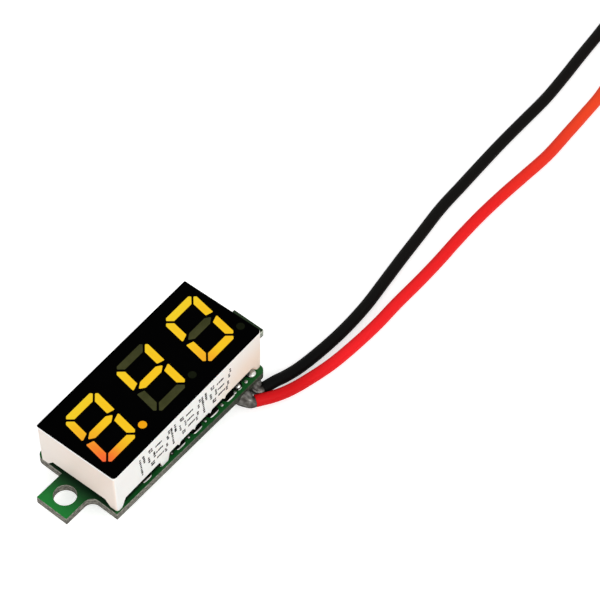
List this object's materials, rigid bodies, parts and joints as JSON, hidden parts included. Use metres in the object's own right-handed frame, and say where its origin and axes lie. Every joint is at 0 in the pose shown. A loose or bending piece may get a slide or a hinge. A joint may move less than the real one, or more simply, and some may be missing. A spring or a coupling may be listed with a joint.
{
  "type": "digital panel meter",
  "caption": "Small LED voltmeter module: slanted lit figures in a white display housing on a green circuit board with screw ears and a pair of loose leads.",
  "frame": {"origin": "middle of the board, on the surface that the cut pin ends stand on", "axes": "+X along the module towards the end with the leads, +Y towards the tops of the figures, +Z out of the display's face"},
  "size_m": [0.1189, 0.0239, 0.0091],
  "materials": {
    "board": "green solder mask, bare fibreglass edges",
    "tinned_copper": "tinned",
    "white_housing": "satin moulded",
    "black_face": "matt printed film",
    "lit_resin": "diffusing resin, lit",
    "dark_resin": "diffusing resin, unlit",
    "inner_board": "bare laminate",
    "led_chip": "bare chip",
    "potting": "cast resin",
    "pin_metal": "tin plated",
    "solder": "bright solder",
    "chip_body": "moulded epoxy",
    "capacitor_ceramic": "fired ceramic",
    "resistor_glaze": "black glaze",
    "white_ceramic": "fired ceramic",
    "rotor_metal": "plated",
    "tinned_wire": "tinned strands",
    "red_insulation": "satin cable jacket",
    "black_insulation": "satin cable jacket"
  },
  "bodies": {
    "module": {"circuit_board": "board", "top_pads": "tinned_copper", "bottom_pads": "tinned_copper", "vias": "tinned_copper", "display_housing": "white_housing", "face_film": "black_face", "lit_bars": "lit_resin", "dark_bars": "dark_resin", "lit_point": "lit_resin", "dark_points": "dark_resin", "inner_board": "inner_board", "led_chips": "led_chip", "potting": "potting", "display_pins": "pin_metal", "pin_solder": "solder", "microcontroller": "chip_body", "microcontroller_leads": "pin_metal", "regulator": "chip_body", "regulator_leads": "pin_metal", "diode": "chip_body", "diode_leads": "pin_metal", "capacitors": "capacitor_ceramic", "capacitor_ends": "pin_metal", "resistors": "resistor_glaze", "resistor_ends": "pin_metal", "trimmer_base": "white_ceramic", "trimmer_terminals": "pin_metal", "wire_solder": "solder", "red_core": "tinned_wire", "black_core": "tinned_wire", "red_lead": "red_insulation", "black_lead": "black_insulation", "red_coil": "red_insulation", "black_coil": "black_insulation", "red_tail": "tinned_wire", "black_tail": "tinned_wire"},
    "rotor": {"trimmer_rotor": "rotor_metal"}
  },
  "joints": [
    {"name": "trimmer_turn", "type": "hinge", "parent": "module", "child": "rotor", "pos_m": [-0.00935, 0.003, 0.0012], "axis": [0, 0, 1], "range_deg": [-105, 105]}
  ]
}
